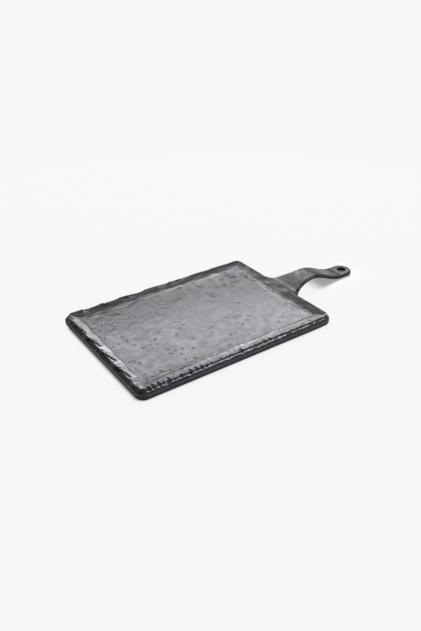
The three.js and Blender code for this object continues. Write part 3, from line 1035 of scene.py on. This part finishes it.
plate_length, plate_width = 0.028, 0.010
plate_spot = node(relief, "ShaderNodeCombineXYZ", {
    "X": times(run, 1 / plate_length), "Y": times(across, 1 / plate_width), "Z": seed,
}).outputs[0]
plate_noise = node(relief, "ShaderNodeTexNoise", {"Vector": plate_spot, "Scale": 1.0, "Detail": 1.5})
plate_lift = calc(relief, "SUBTRACT", plate_noise.outputs["Fac"], 0.5)
on_slope = times(ramp(relief, across, -0.001, 0.003), ramp(relief, across, 0.014, 0.024, 1.0, 0.0))
plates = times(plate_lift, times(on_slope, stored("plated"), relief_in["Plate step"]))

gutter_line, gutter_half = 0.0146, 0.0026
gutter_warp = times(wave(0.012, 2.0), 0.012)
from_gutter = calc(relief, "SUBTRACT", calc(relief, "ADD", across, gutter_warp), gutter_line)
gutter_shape = ramp(relief, calc(relief, "ABSOLUTE", from_gutter), 0.0, gutter_half, 1.0, 0.0)
gutter = times(gutter_shape, relief_in["Gutter depth"])
print("relief nodes:", len(relief.nodes))

# %% Relief tree: move the points and hand over
face_sum = calc(relief, "SUBTRACT", calc(relief, "ADD", slow, quick), calc(relief, "ADD", dents, gutter))
smooth_sum = calc(relief, "ADD", times(face_sum, stored("uneven")), plates)
push = calc(relief, "SUBTRACT", smooth_sum, chip_sum)
offset = scaled(relief, node(relief, "GeometryNodeInputNormal").outputs[0], push)
moved = node(relief, "GeometryNodeSetPosition", {"Geometry": relief_in["Geometry"], "Offset": offset})
end_tree(relief, moved.outputs[0], relief_in["Material"])
apply_tree(tray, relief, {"Material": slate_melamine}, sharp_angle=40)

# %% [markdown]
# The base
#
# The base closes the tray from below. From outside it is a shallow dish with a rounded lower edge, and the
# line where it is bonded to the tray shows on the wall as a fine groove. Its upper edge has a small chamfer
# that catches the light. The underside has four round seats for the feet. The skin is swept from one
# profile, in rows like the tray's.

# %% Base skin
base_height, base_under, base_floor = 8.75, float(base_low[2]), 5.0
wall_inset, top_chamfer, floor_border = 4.0, 0.2, 1.5
lower_inset, lower_rise = 3.5, 4.8
base_edge, base_inward, _ = even_loop(board_half, 1.5)
base_profile = [
    (wall_inset, base_floor), (wall_inset, base_height),
    (top_chamfer, base_height), (0.0, base_height - top_chamfer),
]
for turn in np.radians(np.linspace(4, 90, 9)):
    height = base_under + lower_rise * (1 - math.sin(turn))
    base_profile.append((lower_inset * (1 - math.cos(turn)), height))
base_profile.append((lower_inset + floor_border, base_under))
base = Blank()
base_rings = [base.ring(base_edge + inset * base_inward, height) for inset, height in base_profile]
base.sweep(base_rings)
print("base wall:", len(base_rings), "rows of", len(base_edge), "points")

# %% Foot seats, floor and underside
foot_nodes = sorted(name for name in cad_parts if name.startswith("foot_"))
foot_middles = [500 * (np.array(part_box(name)[0]) + np.array(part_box(name)[1]))[:2] for name in foot_nodes]
seat_radius, neck_radius, seat_roof, round_sides = 7.8, 2.8, 3.0, 48
seat_profile = [
    (seat_radius + 0.3, base_under), (seat_radius + 0.08, base_under + 0.08), (seat_radius, base_under + 0.3),
    (seat_radius, seat_roof), (neck_radius, seat_roof), (neck_radius, base_floor),
]
seat_rims, neck_rims = [], []
for middle in foot_middles:
    rings = [base.ring(circle(middle, radius, round_sides), height) for radius, height in seat_profile]
    base.sweep(rings)
    seat_rims.append(rings[0])
    neck_rims.append(rings[-1])


def from_feet(x, y):
    """Distance to the nearest foot's middle."""
    return np.min([np.hypot(x - middle[0], y - middle[1]) for middle in foot_middles], axis=0)


coarse = np.array(np.meshgrid(face_x[::6], face_y[::6])).reshape(2, -1).T
coarse = coarse[from_feet(*coarse.T) > seat_radius + 2]
base.fill([base_rings[-1]] + seat_rims, coarse, flat(base_under),
          lambda x, y: from_feet(x, y) < seat_radius + 0.2)
base.fill([base_rings[0]] + neck_rims, coarse, flat(base_floor),
          lambda x, y: from_feet(x, y) < neck_radius - 0.1)
base_shell = linked("moulded_base", base.mesh("base"))
print("base skin:", len(base.faces), "faces, feet at", [middle.round(1).tolist() for middle in foot_middles])

# %% [markdown]
# The ribs inside the base
#
# A thin dish would drum and bend, so the base carries a grid of ribs up to the tray's underside, and a lip
# that centres it in the tray. Bars that repeat at one spacing are work for Geometry Nodes: a line of
# points, a bar on each point, and one tree that joins the rows to the skin. They stay out of sight.

# %% Geometry Nodes: rib grid
ribbed, bar = geometry_tree("rib_grid", {
    "Bar thickness": 0.002, "Bar bottom": 0.0049, "Bar top": 0.0097,
    "Lip length": 0.2724, "Lip width": 0.1894,
})
bar_height = calc(ribbed, "SUBTRACT", bar["Bar top"], bar["Bar bottom"])
bar_middle = calc(ribbed, "MULTIPLY_ADD", bar_height, 0.5, bar["Bar bottom"])


def bars(spaced_along, count, spread, length):
    """A row of bars across X or Y, evenly spread over the given width."""
    gap = calc(ribbed, "DIVIDE", spread, count - 1.0)
    start = calc(ribbed, "MULTIPLY", spread, -0.5)
    other = "Y" if spaced_along == "X" else "X"
    first = node(ribbed, "ShaderNodeCombineXYZ", {spaced_along: start, "Z": bar_middle})
    jump = node(ribbed, "ShaderNodeCombineXYZ", {spaced_along: gap})
    size = node(ribbed, "ShaderNodeCombineXYZ", {
        spaced_along: bar["Bar thickness"], other: length, "Z": bar_height,
    })
    line = node(ribbed, "GeometryNodeMeshLine", {
        "Count": count, "Start Location": first.outputs[0], "Offset": jump.outputs[0],
    })
    block = node(ribbed, "GeometryNodeMeshCube", {"Size": size.outputs[0]})
    return node(ribbed, "GeometryNodeInstanceOnPoints", {
        "Points": line.outputs[0], "Instance": block.outputs[0],
    }).outputs[0]


lip_corner = 0.014
rib_spread_x = calc(ribbed, "MULTIPLY", bar["Lip length"], 5 / 7)
rib_spread_y = calc(ribbed, "MULTIPLY", bar["Lip width"], 3 / 5)
bundle = node(ribbed, "GeometryNodeJoinGeometry")
for row_of_bars in (
    bars("X", 6, rib_spread_x, bar["Lip width"]),
    bars("Y", 4, rib_spread_y, bar["Lip length"]),
    bars("X", 2, bar["Lip length"], calc(ribbed, "SUBTRACT", bar["Lip width"], lip_corner)),
    bars("Y", 2, bar["Lip width"], calc(ribbed, "SUBTRACT", bar["Lip length"], lip_corner)),
):
    fill(ribbed, bundle.inputs[0], row_of_bars)
centred = node(ribbed, "GeometryNodeTransform", {
    "Geometry": bundle.outputs[0], "Translation": (board_middle * 0.001, 0, 0),
})
with_skin = node(ribbed, "GeometryNodeJoinGeometry")
fill(ribbed, with_skin.inputs[0], centred.outputs[0])
fill(ribbed, with_skin.inputs[0], bar["Geometry"])
end_tree(ribbed, with_skin.outputs[0], bar["Material"])
apply_tree(base_shell, ribbed, {"Material": base_melamine}, sharp_angle=35)

# %% [markdown]
# The feet
#
# Each foot is a turned shape: a flange that grips the table with a ring groove, a neck through the floor
# and a mushroom head that snaps in. One foot is made by turning a profile, and Geometry Nodes sets a copy
# on each corner of a rectangle.

# %% One foot, turned from a profile
foot_bottom, foot_top = 0.3, 7.28
foot_profile = [
    (2.4, foot_bottom), (2.8, 0.0), (4.6, 0.0), (4.85, 0.3), (5.35, 0.3), (5.6, 0.0), (7.0, 0.0),
    (7.25, 0.06), (7.44, 0.25), (7.5, 0.5), (7.5, 2.6), (7.4, 2.82), (7.15, 2.92), (2.5, 2.92), (2.5, 5.2),
    (4.1, 5.25), (4.2, 5.5), (2.2, 7.1), (1.8, 7.25),
]
foot = Blank()
lowest = foot.add([(0, 0, foot_bottom)])
turned = [foot.ring(circle((0, 0), radius, round_sides), height) for radius, height in foot_profile]
highest = foot.add([(0, 0, foot_top)])
foot.sweep(turned)
for pole, rim in ((lowest[0], turned[0]), (highest[0], turned[-1])):
    foot.faces += [[int(pole), int(a), int(b)] for a, b in zip(rim, np.roll(rim, -1))]
feet = linked("silicone_feet", foot.mesh("foot"))
print("one foot:", len(foot.faces), "faces")

# %% Geometry Nodes: a foot on each corner
stands, stand = geometry_tree("feet_on_corners", {"Span length": 0.2, "Span width": 0.1, "Middle": 0.0})
rectangle = node(stands, "GeometryNodeMeshGrid", {
    "Size X": stand["Span length"], "Size Y": stand["Span width"], "Vertices X": 2, "Vertices Y": 2,
})
to_board = node(stands, "ShaderNodeCombineXYZ", {"X": stand["Middle"]})
on_board = node(stands, "GeometryNodeTransform", {
    "Geometry": rectangle.outputs[0], "Translation": to_board.outputs[0],
})
four = node(stands, "GeometryNodeInstanceOnPoints", {
    "Points": on_board.outputs[0], "Instance": stand["Geometry"],
})
end_tree(stands, four.outputs[0], stand["Material"])
foot_spots = np.array(foot_middles) * 0.001
apply_tree(feet, stands, {
    "Span length": float(np.ptp(foot_spots[:, 0])), "Span width": float(np.ptp(foot_spots[:, 1])),
    "Middle": float(foot_spots[:, 0].mean()), "Material": silicone,
}, sharp_angle=35)

# %% [markdown]
# Handing over
#
# Each piece rides on the model's one body and stands for the nodes that it dresses, which are hidden.

# %% Pieces and nodes
for piece, nodes, finish in (
    (tray, ["upper_moulding"], "melamine_top"),
    (base_shell, ["base_moulding"], "melamine_base"),
    (feet, foot_nodes, "silicone"),
):
    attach(piece, "root")
    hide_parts(*nodes)
